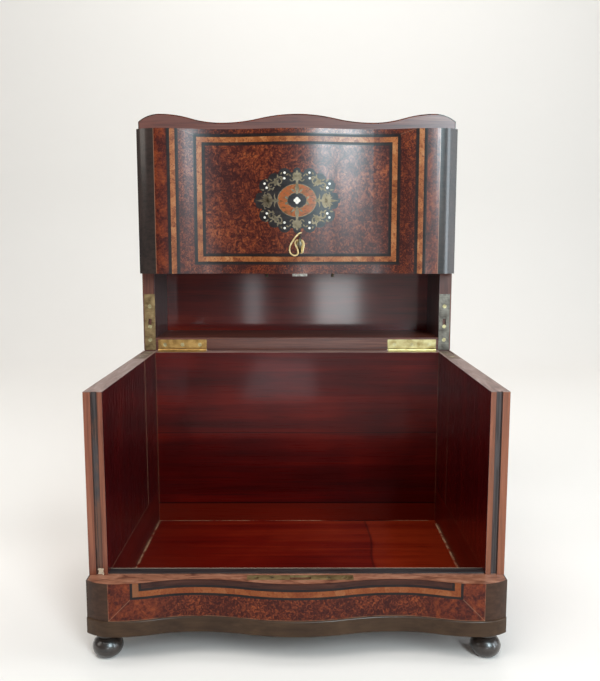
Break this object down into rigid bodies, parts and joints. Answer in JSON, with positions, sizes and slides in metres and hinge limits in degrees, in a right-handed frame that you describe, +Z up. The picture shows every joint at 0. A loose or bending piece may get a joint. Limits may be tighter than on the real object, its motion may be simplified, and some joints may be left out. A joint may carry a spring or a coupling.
{
  "type": "marquetry liqueur casket",
  "caption": "Serpentine marquetry casket on bun feet: the lid lifts upright on the back and the locking front folds back against it.",
  "frame": {"origin": "on the ground under the middle of the casket's outline as it stands open", "axes": "+Z up, the front faces -Y, +X to the viewer's right"},
  "size_m": [0.33, 0.3288, 0.4602],
  "materials": {
    "rosewood": "french polished",
    "mahogany": "french polished",
    "burl": "french polished",
    "ebony": "ebonised gloss",
    "banding": "french polished",
    "brass": "aged",
    "steel": "aged",
    "pearl": "polished",
    "red_inlay": "polished",
    "gold_cord": "twisted"
  },
  "bodies": {
    "case": {"floor_board": "mahogany", "wall_left": "rosewood", "wall_right": "rosewood", "wall_back_lower": "mahogany", "wall_back_upper": "mahogany", "plinth_front": "rosewood", "plinth_left": "rosewood", "plinth_right": "rosewood", "plinth_moulding": "ebony", "plinth_veneer": "burl", "plinth_crossband": "rosewood", "plinth_banding": "banding", "plinth_stringing": "ebony", "plinth_corner_strips": "ebony", "front_sill": "ebony", "strike_plate": "brass", "strike_screws": "brass", "foot_front_left": "ebony", "foot_front_right": "ebony", "foot_rear_left": "ebony", "foot_rear_right": "ebony", "hinge_case_leaf_left": "brass", "hinge_case_leaf_right": "brass", "hinge_pins": "brass", "stop_case_leaves": "brass", "case_hinge_screws": "brass"},
    "lid": {"lid_top_board": "mahogany", "lid_top_banding": "banding", "lid_side_left": "rosewood", "lid_side_right": "rosewood", "lid_rear_rail": "rosewood", "lid_front_rail": "rosewood", "lid_rail_veneer": "burl", "lid_corner_strips": "ebony", "hinge_lid_leaf_left": "brass", "hinge_lid_leaf_right": "brass", "stop_lid_leaves": "brass", "front_hinge_lid_leaves": "brass", "front_hinge_pins": "brass", "lid_hinge_screws": "brass"},
    "front": {"front_board": "rosewood", "front_veneer": "burl", "front_banding": "banding", "front_stringing": "ebony", "front_corner_strips": "ebony", "cartouche_ground": "ebony", "cartouche_ring": "red_inlay", "cartouche_pearls": "pearl", "cartouche_scrolls": "brass", "front_hinge_leaves": "brass", "front_hinge_screws": "brass", "lock_case": "steel", "keyhole_liner": "brass", "locating_pins": "steel", "dust_tongues": "rosewood"},
    "key": {"key": "steel", "key_cord": "gold_cord"},
    "bolt": {"lock_bolt": "steel"}
  },
  "joints": [
    {"name": "lid_hinge", "type": "hinge", "parent": "case", "child": "lid", "pos_m": [0, 0.08428, 0.21265], "axis": [1, 0, 0], "range_deg": [0, 74]},
    {"name": "front_hinge", "type": "hinge", "parent": "lid", "child": "front", "pos_m": [0, 0.08353, 0.44245], "axis": [-1, 0, 0], "range_deg": [0, 90]},
    {"name": "key_turn", "type": "hinge", "parent": "front", "child": "key", "pos_m": [0.0028, 0.06582, 0.32605], "axis": [0, -1, 0], "range_deg": [-90, 90]},
    {"name": "bolt_slide", "type": "slide", "parent": "front", "child": "bolt", "axis": [0, 0, -1], "range_m": [-0.003, 0.003]}
  ],
  "couplings": [
    {"joint": "bolt_slide", "follows": "key_turn", "m_per_rad": 0.0019098}
  ]
}
